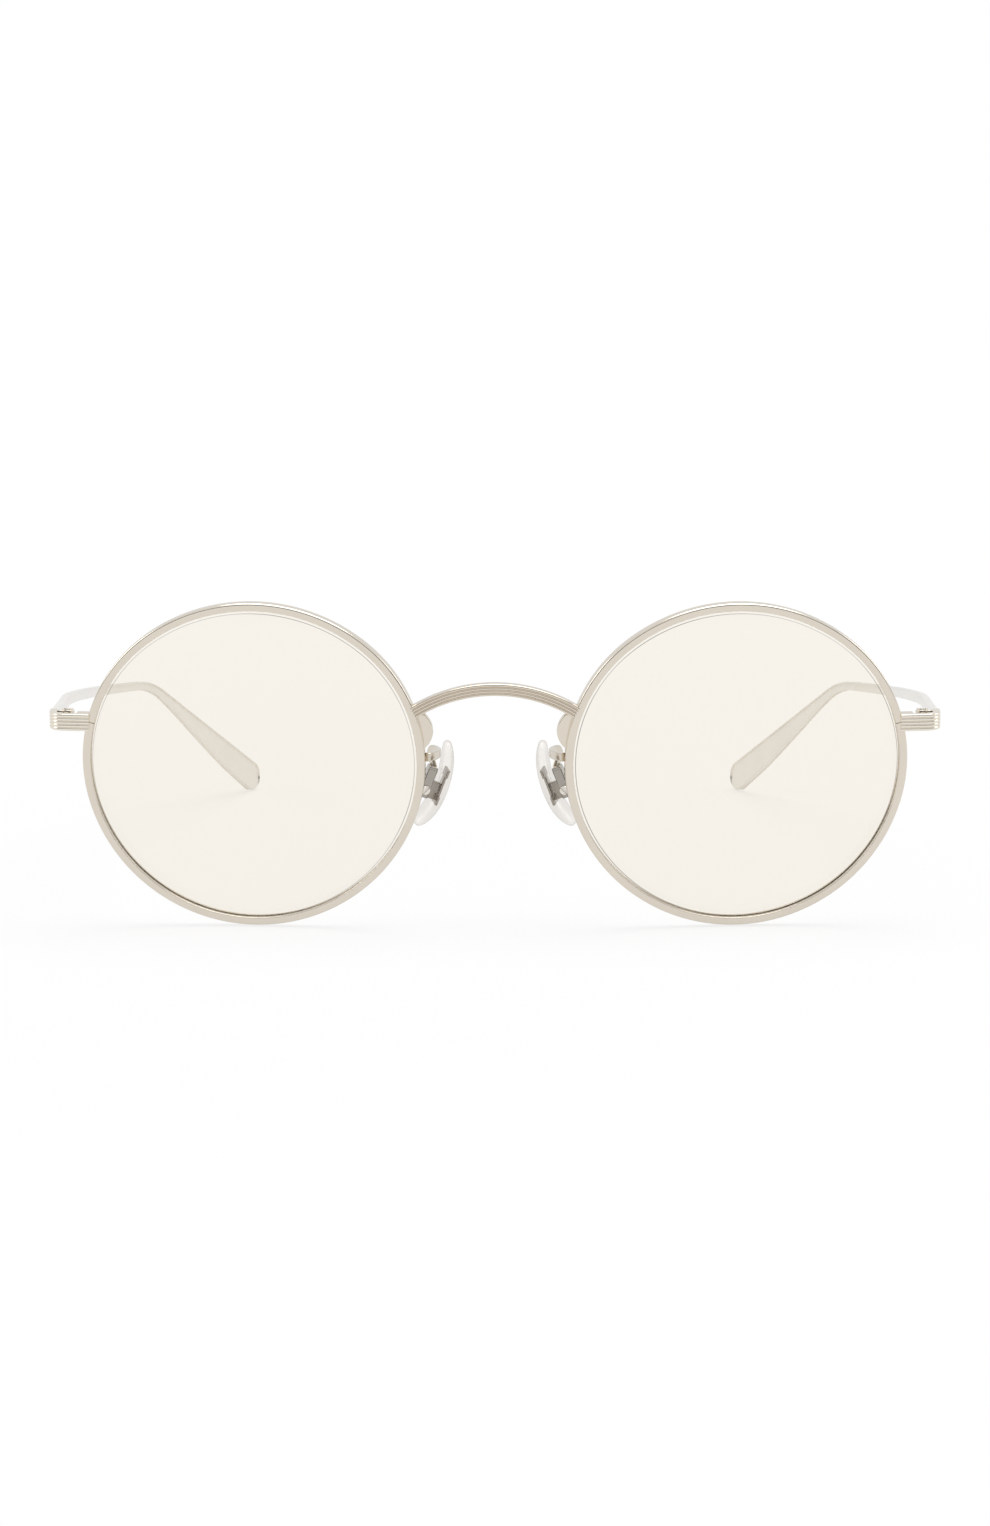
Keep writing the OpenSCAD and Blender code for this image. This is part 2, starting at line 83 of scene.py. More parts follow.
def inLens(p):
    # From the left lens's centre: turns by the wrap and goes out by half the lens pitch.
    return inFront(turn(p, "z", placing["wrap"]) + np.array([placing["lensPitch"] / 2, 0, 0]))


def inHinge(p):
    # Turns by the temple's slope and goes to the middle of the left hinge.
    return inRow(turn(p, "x", -placing["slope"]) + np.array(placing["hinge"]))


def fromHinge(p):
    # The way back from the row to the hinge's own frame.
    q = p + np.array([0, placing["midY"], 0]) - np.array(placing["hinge"])
    return turn(q, "x", placing["slope"])


def inPad(p):
    # Splays about z, slopes about y and goes to the middle of the left pad.
    q = turn(turn(p, "z", -placing["padSplay"]), "y", -placing["padSlope"])
    return inRow(q + np.array(placing["pad"]))


# ---------------------------------------------------------------- meshes

# in metres: points nearer than this are one, and edges shorter than this are dropped
weld = {"points": 2e-7, "edges": 1e-8}


def buildPiece(name, grids, side, body, slot, replaced=(), sharp=40):
    # Each grid is points (rows, columns, 3), whether its two end rows get a flat cap, and the step of
    # its u and v. Rows or columns that meet are welded, and every shell's faces are turned outwards.
    verts, faces, uvs, start = [], [], [], 0
    for pts, caps, stepU, stepV in grids:
        rows, cols = pts.shape[:2]
        index = start + np.arange(rows * cols).reshape(rows, cols)
        quad = np.stack([index[:-1, :-1], index[1:, :-1], index[1:, 1:], index[:-1, 1:]], -1)
        u = np.arange(rows)[:, None] * stepU + np.zeros(cols)
        v = np.arange(cols)[None, :] * stepV + np.zeros((rows, 1))
        uv = np.stack([u, v], -1)
        quadUv = np.stack([uv[:-1, :-1], uv[1:, :-1], uv[1:, 1:], uv[:-1, 1:]], 2)
        faces += quad.reshape(-1, 4).tolist()
        uvs.append(quadUv.reshape(-1, 2))
        if caps:
            for row in (0, rows - 1):
                faces.append(index[row, :-1].tolist())
                uvs.append(uv[row, :-1])
        verts.append(pts.reshape(-1, 3))
        start += rows * cols
    co = np.concatenate(verts) * mm
    co[:, 0] *= side
    mesh = bpy.data.meshes.new(name)
    mesh.from_pydata(co, [], faces)
    layer = mesh.uv_layers.new(name="flow")
    layer.data.foreach_set("uv", np.concatenate(uvs).astype(np.float32).ravel())
    bm = bmesh.new()
    bm.from_mesh(mesh)
    bmesh.ops.remove_doubles(bm, verts=bm.verts, dist=weld["points"])
    bmesh.ops.dissolve_degenerate(bm, edges=bm.edges, dist=weld["edges"])
    bmesh.ops.recalc_face_normals(bm, faces=bm.faces)
    bm.to_mesh(mesh)
    bm.free()
    mesh.polygons.foreach_set("use_smooth", [True] * len(mesh.polygons))
    mesh.set_sharp_from_angle(angle=rad(sharp))
    obj = bpy.data.objects.new(name, mesh)
    bpy.context.scene.collection.objects.link(obj)
    obj.data.materials.append(materials[slot])
    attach(obj, body)
    if replaced:
        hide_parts(*replaced)
    return obj


def bothSides(label, make, body, slot, node=None, sharp=40):
    # The same grids for the wearer's left, and mirrored for the right.
    grids = make()
    for word, side in (("left", 1), ("right", -1)):
        riding = body if body == "front" else body + "_" + word
        buildPiece(label + "_" + word, grids, side, riding, slot, [(node or label) + "_" + word], sharp)


def closed(pts):
    # Repeats the first column at the end, so that the section closes.
    return np.concatenate([pts, pts[:, :1]], 1)


def roundedPath(corners, radii, n=5):
    # A closed outline with a circular arc of n + 1 points at each corner; radius 0 keeps the corner.
    c = np.array(corners, float)
    out = []
    for i, r in enumerate(radii):
        p, a, b = c[i], c[i - 1], c[(i + 1) % len(c)]
        if r == 0:
            out.append(p[None])
            continue
        ua, ub = (a - p) / np.linalg.norm(a - p), (b - p) / np.linalg.norm(b - p)
        half = math.acos(np.clip(ua @ ub, -1, 1)) / 2
        reach = r / math.tan(half)
        centre = p + (ua + ub) / np.linalg.norm(ua + ub) * r / math.sin(half)
        s, e = p + ua * reach - centre, p + ub * reach - centre
        sweep = math.pi - 2 * half
        t = np.linspace(0, 1, n + 1)[:, None]
        out.append(centre + (np.sin((1 - t) * sweep) * s + np.sin(t * sweep) * e) / math.sin(sweep))
    return np.concatenate(out)


def puff(outlineAt, low, high, edge, n=4, domed=0.0):
    # A plate between two heights with rounded edges. outlineAt(d) is its outline moved in by d; the
    # rows go from a middle point, out over the edge's quarter circle, up, and back to a middle point.
    a = np.linspace(0, math.pi / 2, n + 1)
    insets = np.concatenate([edge * (1 - np.sin(a)), edge * (1 - np.cos(a))])
    heights = np.concatenate([low + edge * (1 - np.cos(a)), high - edge + edge * np.sin(a)])
    rings = []
    for d, h in zip(insets, heights):
        ring = outlineAt(d)
        rings.append(np.concatenate([ring, np.full((len(ring), 1), h)], 1))
    first, last = rings[0].mean(0), rings[-1].mean(0)
    start, stop = np.tile(first, (len(rings[0]), 1)), np.tile(last, (len(rings[0]), 1))
    inner = [stop + (rings[-1] - stop) * f + [0, 0, domed * (1 - f * f)] for f in (0.75, 0.5, 0.25)]
    stop = stop + [0, 0, domed]
    return closed(np.stack([start] + rings + inner + [stop]))


def disc(r, n=48):
    # A circle of n points, its radius r - d when moved in by d.
    a = np.arange(n) * 2 * math.pi / n
    return lambda d: np.stack([(r - d) * np.cos(a), (r - d) * np.sin(a)], -1)


def oblong(hx, hy, r):
    # A rectangle of half sizes hx and hy with corner radius r, each less d when moved in by d.
    def outlineAt(d):
        x, y = hx - d, hy - d
        return roundedPath([(x, y), (-x, y), (-x, -y), (x, -y)], [max(r - d, 0.02)] * 4)

    return outlineAt


def ring(outer, inner, low, high, edge, n=56):
    # A short tube about z: its section is a rectangle with rounded corners, turned all the way round.
    section = roundedPath([(inner, low), (outer, low), (outer, high), (inner, high)], [edge] * 4, 3)
    a = np.linspace(0, 2 * math.pi, n + 1)
    x, z = section[:, 0], section[:, 1]
    grid = np.stack([np.cos(a)[:, None] * x, np.sin(a)[:, None] * x, np.tile(z, (n + 1, 1))], -1)
    return closed(grid)


def slotted(r, low, high, slotHalf, slotDepth, edge):
    # A screw head: a disc with two D-shaped cheeks on it, so that the slot between them stays open.
    base = puff(disc(r), low, high - slotDepth, edge * 0.6)
    a = np.linspace(-math.pi / 2, math.pi / 2, 33)

    def cheek(sign):
        def outlineAt(d):
            x = np.maximum((r - d) * np.cos(a), slotHalf + d)
            y = np.clip((r - d) * np.sin(a), -(r - d), r - d)
            return np.stack([sign * x, y], -1)

        return puff(outlineAt, high - slotDepth - edge, high, edge)

    return [base, cheek(1), cheek(-1)]


def carry(grids, place, step=0.2):
    # Moves closed grids to their place, with the same step of u and v for each.
    return [(place(g), False, step, step) for g in grids]


# ---------------------------------------------------------------- shader helper


class Wire:
    """A socket that can be used in arithmetic; each operator adds one Math node."""

    def __init__(self, tree, socket):
        self.tree, self.socket = tree, socket

    def node(self, kind, settings=None, out=0, **inputs):
        # Any node: its settings first, then its sockets by name (underscores stand for spaces).
        n = self.tree.nodes.new(kind)
        for key, value in (settings or {}).items():
            setattr(n, key, value)
        for key, value in inputs.items():
            name = int(key[1:]) if key[0] == "_" and key[1:].isdigit() else key.replace("_", " ")
            socket = n.inputs[name]
            if isinstance(value, Wire):
                self.tree.links.new(value.socket, socket)
            else:
                socket.default_value = value
        return Wire(self.tree, n.outputs[out])

    def _math(self, operation, a, b=0.0, clamp=False):
        return self.node("ShaderNodeMath", {"operation": operation, "use_clamp": clamp}, _0=a, _1=b)

    def __add__(self, o):
        return self._math("ADD", self, o)

    def __radd__(self, o):
        return self._math("ADD", o, self)

    def __sub__(self, o):
        return self._math("SUBTRACT", self, o)

    def __rsub__(self, o):
        return self._math("SUBTRACT", o, self)

    def __mul__(self, o):
        return self._math("MULTIPLY", self, o)

    def __rmul__(self, o):
        return self._math("MULTIPLY", o, self)

    def __truediv__(self, o):
        return self._math("DIVIDE", self, o)

    def __rtruediv__(self, o):
        return self._math("DIVIDE", o, self)

    def __pow__(self, o):
        return self._math("POWER", self, o)

    def orMore(self, o):
        # The larger of two values.
        return self._math("MAXIMUM", self, o)

    def clamped(self):
        return self._math("ADD", self, 0.0, True)

    def between(self, low, high):
        # 0 below low, 1 above high, a straight ramp between.
        return self._math("DIVIDE", self - low, high - low, True)

    def mix(self, a, b):
        # Colour a where this is 0, colour b where it is 1.
        return self.node("ShaderNodeMix", {"data_type": "RGBA"}, out=2, _0=self, _6=a, _7=b)

    def scaled(self, x, y, z):
        return self.node("ShaderNodeVectorMath", {"operation": "MULTIPLY"}, _0=self, _1=(x, y, z))

    def noise(self, scale, detail=3.0, rough=0.5):
        sockets = {"Vector": self, "Scale": scale, "Detail": detail, "Roughness": rough}
        return self.node("ShaderNodeTexNoise", None, **sockets)


white = (1, 1, 1, 1)


def newMaterial(name):
    # An empty material and two wires: place is the piece's own coordinates in metres, flow is the
    # mesh's u along the piece and v round its section.
    m = bpy.data.materials.new(name)
    m.use_nodes = True
    tree = m.node_tree
    tree.nodes.clear()
    place = tree.nodes.new("ShaderNodeTexCoord")
    flow = tree.nodes.new("ShaderNodeUVMap")
    flow.uv_map = "flow"
    return m, Wire(tree, place.outputs["Object"]), Wire(tree, flow.outputs[0])


def finished(m, shader):
    # Links a shader to the material's output.
    out = m.node_tree.nodes.new("ShaderNodeOutputMaterial")
    m.node_tree.links.new(shader.socket, out.inputs["Surface"])
    return m


def rgb(c, k=1.0):
    # A colour k times as light.
    return (c[0] * k, c[1] * k, c[2] * k, 1.0)


# Metals: colour, mean roughness, how far roughness wanders, depth of the drawn marks.
metals = {
    "rim_metal": ((0.830, 0.760, 0.660), 0.13, 0.06, 0.05),
    "bridge_metal": ((0.790, 0.710, 0.600), 0.11, 0.06, 0.05),
    "end_metal": ((0.930, 0.865, 0.760), 0.11, 0.06, 0.05),
    "temple_metal": ((0.970, 0.945, 0.905), 0.30, 0.08, 0.09),
    "hinge_metal": ((0.800, 0.750, 0.670), 0.20, 0.08, 0.06),
    "pad_arm_metal": ((0.760, 0.700, 0.610), 0.12, 0.07, 0.05),
    "pad_box_metal": ((0.430, 0.400, 0.360), 0.12, 0.10, 0.10),
    "screw_metal": ((0.860, 0.820, 0.760), 0.14, 0.08, 0.05),
}


# What all metals share: noises as (scale, detail, roughness), how far the marks are drawn out along
# a piece, the shades between which the tone runs, and the specks' share, shade and dullness.
metalLook = {
    "drawnOut": (0.35, 6.0, 1.0),
    "marks": (1.0, 4.0, 0.6),
    "grain": (2600.0, 3.0, 0.6),
    "haze": (140.0, 2.0, 0.5),
    "hazeFrom": (0.55, 0.75),
    "hazeDull": 0.06,
    "speck": (5200.0, 1.0, 0.4),
    "speckFrom": (0.70, 0.80),
    "speckShare": 0.25,
    "speckShade": 0.72,
    "speckDull": 0.08,
    "shades": (0.955, 1.03),
    "bump": 0.00002,
}


def metalMaterial(slot):
    # Drawn wire: noise stretched along the piece marks colour, roughness and a shallow bump; a slow
    # noise adds handling haze: rough = mean + wander (marks - 1/2) + haze + specks.
    base, rough, wander, depth = metals[slot]
    k = metalLook
    m, place, flow = newMaterial(slot)
    marks = flow.scaled(*k["drawnOut"]).noise(*k["marks"])
    grain = place.noise(*k["grain"])
    haze = place.noise(*k["haze"])
    speck = place.noise(*k["speck"]).between(*k["speckFrom"])
    tone = (marks * 0.6 + grain * 0.4 - 0.5) * 0.9 + haze - 0.5
    colour = (tone + 0.5).clamped().mix(rgb(base, k["shades"][0]), rgb(base, k["shades"][1]))
    colour = (speck * k["speckShare"]).mix(colour, rgb(base, k["speckShade"]))
    hazy = haze.between(*k["hazeFrom"])
    dull = rough + wander * (marks - 0.5) + k["hazeDull"] * hazy + speck * k["speckDull"]
    relief = marks * 0.7 + grain * 0.3
    bump = marks.node("ShaderNodeBump", None, Strength=depth, Distance=k["bump"], Height=relief)
    sockets = {"Base_Color": colour, "Metallic": 1.0, "Roughness": dull.clamped(), "Normal": bump}
    return finished(m, marks.node("ShaderNodeBsdfPrincipled", None, **sockets))


def clearSkin(tint, dull, look, **normal):
    # One face of a clear piece: mix(tinted see-through, mirror, shine * Fresnel). From inside, the
    # index given is 1 / ior, which the Fresnel node turns round again, so both faces mirror alike.
    clear = tint.node("ShaderNodeBsdfTransparent", None, Color=tint)
    mirror = tint.node("ShaderNodeBsdfGlossy", None, Color=white, Roughness=dull, **normal)
    inside = tint.node("ShaderNodeNewGeometry", None, out="Backfacing")
    ior = look["ior"] + inside * (1 / look["ior"] - look["ior"])
    share = tint.node("ShaderNodeFresnel", None, IOR=ior, **normal) * look["shine"]
    return tint.node("ShaderNodeMixShader", None, _0=share.clamped(), _1=clear, _2=mirror)


# The lens: what a face lets through, its shine, its noises, and a painted highlight on the ground bevel and
# a painted shade line inside the rim, placed by the front face's row of points, which is u.
lensLook = {
    "through": (0.9640, 0.9450, 0.9060),
    "shine": 0.9,
    "ior": 1.45,
    "wiped": (40.0, 40.0, 260.0),
    "wipe": (1.0, 4.0, 0.65),
    "dust": (1900.0, 2.0, 0.5),
    "dustFrom": (0.71, 0.78),
    "dustShare": 0.05,
    "dustColour": (0.80, 0.78, 0.74, 1.0),
    "deep": (30.0, 1.0, 0.5),
    "shades": (0.998, 1.002),
    "arc": (38.0, 1.0, 0.5),
    "arcFrom": (0.44, 0.60),
    # painted shade: a dark line just inside the rim stands in for the dark edge that refraction shows there
    "shadeLineFrom": (21.75, 22.0),
    "shadeLineTo": (22.3, 22.55),
    "shadeLineShare": (0.50, 0.45),
    "shadeLineColour": (0.34, 0.31, 0.27, 1.0),
    # painted highlight: the bevel band is mixed towards white to stand in for the bright line its
    # reflection gives
    "bevelHighlightEnd": (25.0, 25.5),
    "bevelHighlightShare": 0.45,
}


def lensMaterial():
    # Thin tint, with faint wipe marks that dull the mirrored part in streaks. The bevel is painted lighter,
    # a painted highlight, and the painted shade line inside it comes and goes: line = band (least + more
    # arc).
    k = lensLook
    m, place, flow = newMaterial("lens_tint")
    wipe = place.scaled(*k["wiped"]).noise(*k["wipe"])
    dust = place.noise(*k["dust"]).between(*k["dustFrom"])
    tint = place.noise(*k["deep"]).mix(rgb(k["through"], k["shades"][0]), rgb(k["through"], k["shades"][1]))
    tint = (dust * k["dustShare"]).mix(tint, k["dustColour"])
    row = flow.node("ShaderNodeSeparateXYZ", None, Vector=flow)
    arc = place.noise(*k["arc"]).between(*k["arcFrom"])
    past = row.between(*k["shadeLineTo"])
    least, more = k["shadeLineShare"]
    # painted shade: the dark line inside the rim, fading in and out with the arc noise
    line = row.between(*k["shadeLineFrom"]) * (1 - past) * (least + more * arc)
    tint = line.mix(tint, k["shadeLineColour"])
    # painted highlight: the bevel band lets more through, standing in for its bright reflection
    bevelHighlight = past * (1 - row.between(*k["bevelHighlightEnd"]))
    tint = (k["bevelHighlightShare"] * bevelHighlight).mix(tint, white)
    return finished(m, clearSkin(tint, (0.02 + wipe * 0.10).clamped(), k))


# The pads: what a face lets through square on and edge on, how fast one turns into the other with the
# angle, its shine and its noises. The darker edge-on tint is partly the longer path through the silicone
# and partly painted shade for the dark outline of a clear piece.
padLook = {
    "through": (0.955, 0.940, 0.920),
    "edge": (0.66, 0.63, 0.60),
    "power": 4.5,
    "shine": 0.8,
    "ior": 1.41,
    "skin": (900.0, 3.0, 0.6),
    "cloud": (260.0, 2.0, 0.5),
    "shades": (0.985, 1.01),
    "bump": 0.00002,
}


def padMaterial():
    # Clear moulded silicone: each face tints what is behind it, more the more it is seen edge on, partly
    # for the longer path through the silicone and partly as painted shade on its outline: tint =
    # mix(through, edge, facing^power). Skin noise roughens the mirrored share.
    k = padLook
    m, place, _ = newMaterial("pad_clear")
    skin = place.noise(*k["skin"])
    bump = skin.node("ShaderNodeBump", None, Strength=0.10, Distance=k["bump"], Height=skin)
    facing = skin.node("ShaderNodeLayerWeight", None, out="Facing", Blend=0.5, Normal=bump)
    low, high = k["shades"]
    square = place.noise(*k["cloud"]).mix(rgb(k["through"], low), rgb(k["through"], high))
    # partly painted shade: the edge-on darkening stands in for the dark outline as well as the longer path
    tint = (facing ** k["power"]).clamped().mix(square, rgb(k["edge"]))
    return finished(m, clearSkin(tint, (0.06 + 0.10 * skin).clamped(), k, Normal=bump))


materials = {slot: metalMaterial(slot) for slot in metals}
materials["lens_tint"] = lensMaterial()
materials["pad_clear"] = padMaterial()
print("materials made:", sorted(materials))

# ---------------------------------------------------------------- rims and lenses

# width of the lens, how far its outline is flattened and what a step does to each arc, rim wall and
# depth, groove, edge radii, and the split at the outer side
rimShape = {
    "lensWidth": 49.0,
    "ovalSteps": 9,
    "sideStep": 0.24,
    "topStep": (-0.32, 0.4),
    "lowStep": (0.07, 0.25),
    "topSine": 0.8,
    "lowSine": 0.28,
    "wallOut": 0.8,
    "bite": 0.35,
    "depth": 2.0,
    "grooveHalf": 0.35,
    "grooveOut": 0.05,
    "frontEdge": 0.30,
    "innerEdge": 0.12,
    "split": 0.12,
    "splitUp": 5.55,
    "splitOut": 0.3,
    "stations": 540,
}


def sideShift():
    # How far the side arcs' centres stand out from the lens's middle.
    return rimShape["sideStep"] * rimShape["ovalSteps"]


def sideRadius():
    # What is left of half the lens's width.
    return rimShape["lensWidth"] / 2 - sideShift()


def wireAt(up):
    # x of the rim's outer face at a height: shift + sqrt((side radius + wall)^2 - up^2).
    return sideShift() + math.sqrt((sideRadius() + rimShape["wallOut"]) ** 2 - up**2)


def lensArcs(theta):
    # Four arcs, joined where the sine is topSine and -lowSine: centre and radius of the one that
    # faces direction theta. Each arc's centre height and added radius go with the steps.
    s = rimShape
    n, k, sideR = s["ovalSteps"], sideShift(), sideRadius()
    t = (theta + math.pi) % (2 * math.pi) - math.pi
    a, b = math.asin(s["topSine"]), -math.asin(s["lowSine"])
    right = (t >= b) & (t <= a)
    top = (t > a) & (t < math.pi - a)
    low = (t < b) & (t > -math.pi - b)
    cx = np.select([right, top | low], [k, 0.0], -k)
    cz = np.select([top, low], [s["topStep"][0] * n, s["lowStep"][0] * n], 0.0)
    r = np.select([top, low], [sideR + s["topStep"][1] * n, sideR + s["lowStep"][1] * n], sideR)
    return cx, cz, r


def rimPoint(theta, off):
    # centre + (radius + off) in direction theta
    cx, cz, r = lensArcs(theta)
    return cx + (r + off) * np.cos(theta), cz + (r + off) * np.sin(theta)


def makeRim():
    # The wire's section, with the lens groove in its inner side, carried round from split to split.
    s = rimShape
    mid, inner, half, groove = s["depth"] / 2, -s["bite"], s["grooveHalf"], s["grooveOut"]
    corners = [
        ((inner, 0), s["innerEdge"]),
        ((s["wallOut"], 0), s["frontEdge"]),
        ((s["wallOut"], s["depth"]), s["frontEdge"]),
        ((inner, s["depth"]), s["innerEdge"]),
        ((inner, mid + half), 0.05),
        ((groove, mid + half), 0),
        ((groove, mid - half), 0),
        ((inner, mid - half), 0.05),
    ]
    section = roundedPath([c for c, _ in corners], [r for _, r in corners])
    where = math.asin(s["splitUp"] / (sideRadius() + s["splitOut"]))
    gap = s["split"] / s["lensWidth"]
    theta = np.linspace(where + gap, where + 2 * math.pi - gap, s["stations"])[:, None]
    x, z = rimPoint(theta, section[None, :, 0])
    grid = np.stack([x, np.broadcast_to(section[None, :, 1], x.shape), z], -1)
    return [(inLens(closed(grid)), True, 0.29, 0.12)]


# radius of the front face and the back's share of it, thickness in the middle and at the edge, how
# far the faces stop short of the tongue's tip, and the tongue's section as shares (inset, half)
lensShape = {
    "frontR": 130.0,
    "backShare": 0.985,
    "thick": 1.6,
    "edgeThick": 1.4,
    "inset": 0.39,
    "tongueHalf": 0.28,
    "tongue": ((1, -1.25), (0, -0.8), (0, 0.8), (1, 1.25)),
    "rings": 26,
    "around": 241,
}


def makeLens():
    # Both faces are spheres: depth = apex + R - sqrt(R^2 - r^2). The rings
    # crowd towards the edge, which carries a tongue.
    s, depth = lensShape, rimShape["depth"]
    half = rimShape["lensWidth"] / 2
    apex = (depth - s["edgeThick"]) / 2 - (s["frontR"] - math.sqrt(s["frontR"] ** 2 - half**2))
    backR = s["frontR"] * s["backShare"]
    theta = np.linspace(0, 2 * math.pi, s["around"])[None, :]
    cx, cz = rimPoint(theta, -s["inset"])
    rho = np.sin(np.linspace(0, math.pi / 2, s["rings"]))[:, None] ** 0.8
    x, z = cx * rho, cz * rho
    r2 = x * x + z * z
    front = np.stack([x, apex + s["frontR"] - np.sqrt(s["frontR"] ** 2 - r2), z], -1)
    back = np.stack([x, apex + s["thick"] + backR - np.sqrt(backR**2 - r2), z], -1)
    edge = []
    for inward, share in s["tongue"]:
        ex, ez = rimPoint(theta, -s["inset"] * inward)
        edge.append(np.stack([ex, np.full(ex.shape, depth / 2 + share * s["tongueHalf"]), ez], -1)[0])
    grid = np.concatenate([front, np.stack(edge), back[::-1]])
    return [(inLens(grid), False, 1.0, 0.64)]


bothSides("rim", makeRim, "front", "rim_metal")
bothSides("lens", makeLens, "front", "lens_tint", sharp=50)
print("rims and lenses built")

# ---------------------------------------------------------------- bridge, feet and end pieces

# arch radius, height of its top over the lens centres, section, half angle, how far it stands in
# front, reeds across the face
bridgeShape = {
    "r": 22.45,
    "top": 12.3,
    "h": 1.8,
    "d": 1.6,
    "half": 32.3,
    "fore": 2.08,
    "reeds": 4,
    "reedDeep": 0.17,
    "edge": 0.25,
    "stations": 161,
}


def reeded(h, t, reeds, deep, edge):
    # A closed section (across, inset): the face is a row of shallow round reeds, each with
    # inset = deep (1 - sqrt(1 - x^2)) over x from -1 to 1; the back is flat with rounded corners.
    points, side = 11, 0.3
    x = np.tile(np.linspace(-0.985, 0.985, points), reeds)
    centre = np.repeat((np.arange(reeds) + 0.5) / reeds - 0.5, points) * h
    across = centre + x * h / reeds / 2
    face = np.stack([across, deep * (1 - np.sqrt(1 - x * x))], -1)
    back = roundedPath([(h / 2, side), (h / 2, t), (-h / 2, t), (-h / 2, side)], [0, edge, edge, 0], 4)
    return np.concatenate([face, back])


def makeBridge():
    # The section's across runs out from the arch's centre, its inset runs back.
    s = bridgeShape
    section = reeded(s["h"], s["d"], s["reeds"], s["reedDeep"], s["edge"])
    a = np.linspace(-rad(s["half"]), rad(s["half"]), s["stations"])[:, None]
    r = s["r"] + section[None, :, 0]
    x, z = r * np.sin(a), s["top"] - s["h"] / 2 - s["r"] + r * np.cos(a)
    y = np.broadcast_to(section[None, :, 1] - s["fore"], x.shape)
    return [(inFront(closed(np.stack([x, y, z], -1))), True, 0.15, 0.1)]


# the leaf that braces each bridge end: a disc, flat on top, that shows past the rim; clear is how
# far outside the side radius its points are kept
footShape = {
    "r": 3.4,
    "x": -23.0,
    "up": 5.0,
    "top": 7.6,
    "front": 0.95,
    "back": 1.9,
    "clear": 0.25,
    "edge": 0.16,
    "around": 72,
}


def makeFoot():
    # A disc; points nearer the lens than the rim wire's middle are moved out onto it.
    s = footShape
    a = np.arange(s["around"]) * 2 * math.pi / s["around"]
    k, least = sideShift(), sideRadius() + s["clear"]

    def outlineAt(d):
        x, z = s["x"] + (s["r"] - d) * np.cos(a), s["up"] + (s["r"] - d) * np.sin(a)
        z = np.minimum(z, s["top"] - d)
        r = np.hypot(x + k, z)
        f = np.maximum(r, least) / r
        return np.stack([(x + k) * f - k, z * f], -1)

    flat = puff(outlineAt, -s["back"], -s["front"], s["edge"])
    return carry([np.stack([flat[..., 0], -flat[..., 2], flat[..., 1]], -1)], inLens)


# height, wall, reeds, height over the lens centre, how far it stands in front of the rim and laps
# over it, corner radius, the outermost x, the hinge's gap, and stations of its three stretches
endShape = {
    "h": 2.5,
    "t": 1.1,
    "reeds": 5,
    "reedDeep": 0.15,
    "edge": 0.12,
    "up": 5.55,
    "proud": 0.5,
    "lap": 0.42,
    "r": 2.4,
    "outer": 65.6,
    "gap": 0.03,
    "straight": 29,
    "corner": 34,
    "leg": (0.3, 0.6, 0.8, 2.0),
}


def makeEnd():
    # Along the front, round the corner and back: the outer face is carried with its own normal, and
    # the section goes in from it. The last station slides back along the leg onto the hinge's gap.
    s = endShape
    w, r = rad(placing["wrap"]), s["r"]
    reach = s["outer"] - r - placing["lensPitch"] / 2 + (r - s["proud"]) * math.sin(w)
    cornerX = reach / math.cos(w)
    section = reeded(s["h"], s["t"], s["reeds"], s["reedDeep"], s["edge"])
    x = np.linspace(wireAt(s["up"]) - s["lap"], cornerX, s["straight"] + 1)[:-1]
    a = np.linspace(-math.pi / 2, -w, s["corner"])
    turning = np.stack([np.cos(a), np.sin(a)], -1)
    front = np.stack([x, np.full(s["straight"], -s["proud"])], -1)
    bend = turning * r + [cornerX, r - s["proud"]]
    leg = bend[-1] + np.array(s["leg"])[:, None] * [math.sin(w), math.cos(w)]
    line = np.concatenate([front, bend, leg])
    ahead, outward = np.tile([0.0, -1.0], (s["straight"], 1)), np.tile(turning[-1], (len(leg), 1))
    normal = np.concatenate([ahead, turning, outward])
    flat = line[:, None, :] - section[None, :, 1, None] * normal[:, None, :]
    up = np.broadcast_to(s["up"] + section[None, :, 0], flat.shape[:2])
    world = inLens(closed(np.stack([flat[..., 0], flat[..., 1], up], -1)))
    local = fromHinge(world)
    step = local[-1] - local[-2]
    share = (-s["gap"] - local[-2, :, 1]) / step[:, 1]
    local[-1] = local[-2] + share[:, None] * step
    return [(inHinge(local), True, 0.15, 0.1)]


buildPiece("bridge", makeBridge(), 1, "front", "bridge_metal", ["bridge"], 32)
bothSides("bridge_foot", makeFoot, "front", "rim_metal")
bothSides("end_piece", makeEnd, "front", "end_metal", sharp=32)
print("bridge, feet and end pieces built")

# ---------------------------------------------------------------- rim locks

# the block halves behind an end piece that close the rim, with their screw's head
lockShape = {
    "half": 1.2,
    "wide": 1.65,
    "lapIn": 0.1,
    "from": 0.61,
    "deep": 1.5,
    "corner": 0.2,
    "gap": 0.06,
    "edge": 0.14,
    "head": {"r": 0.6, "low": 1.05, "high": 1.32, "slotHalf": 0.09, "slotDepth": 0.15, "edge": 0.05},
}


def lockCentre():
    # The middle of both halves, outside the rim's outer face at the end piece's height.
    s = lockShape
    x = wireAt(endShape["up"]) + s["wide"] / 2 - s["lapIn"]
    return np.array([x, s["from"] + s["deep"] / 2, endShape["up"]])


def makeLock(up):
    # One half: a rounded block over or under the gap between the two.
    s = lockShape
    low, high = (s["gap"], s["half"]) if up else (-s["half"], -s["gap"])
    block = puff(oblong(s["wide"] / 2 + s["lapIn"], s["deep"] / 2, s["corner"]), low, high, s["edge"])
    return carry([block + lockCentre()], inLens)


def makeLockScrew():
    # A slotted head, turned over so that it shows from below.
    head = slotted(**lockShape["head"])
    return carry([turn(g, "x", 180) + lockCentre() for g in head], inLens)


bothSides("rim_lock_upper", lambda: makeLock(True), "front", "rim_metal")
bothSides("rim_lock_lower", lambda: makeLock(False), "front", "rim_metal")
bothSides("rim_lock_screw", makeLockScrew, "front", "screw_metal")

# ---------------------------------------------------------------- hinges

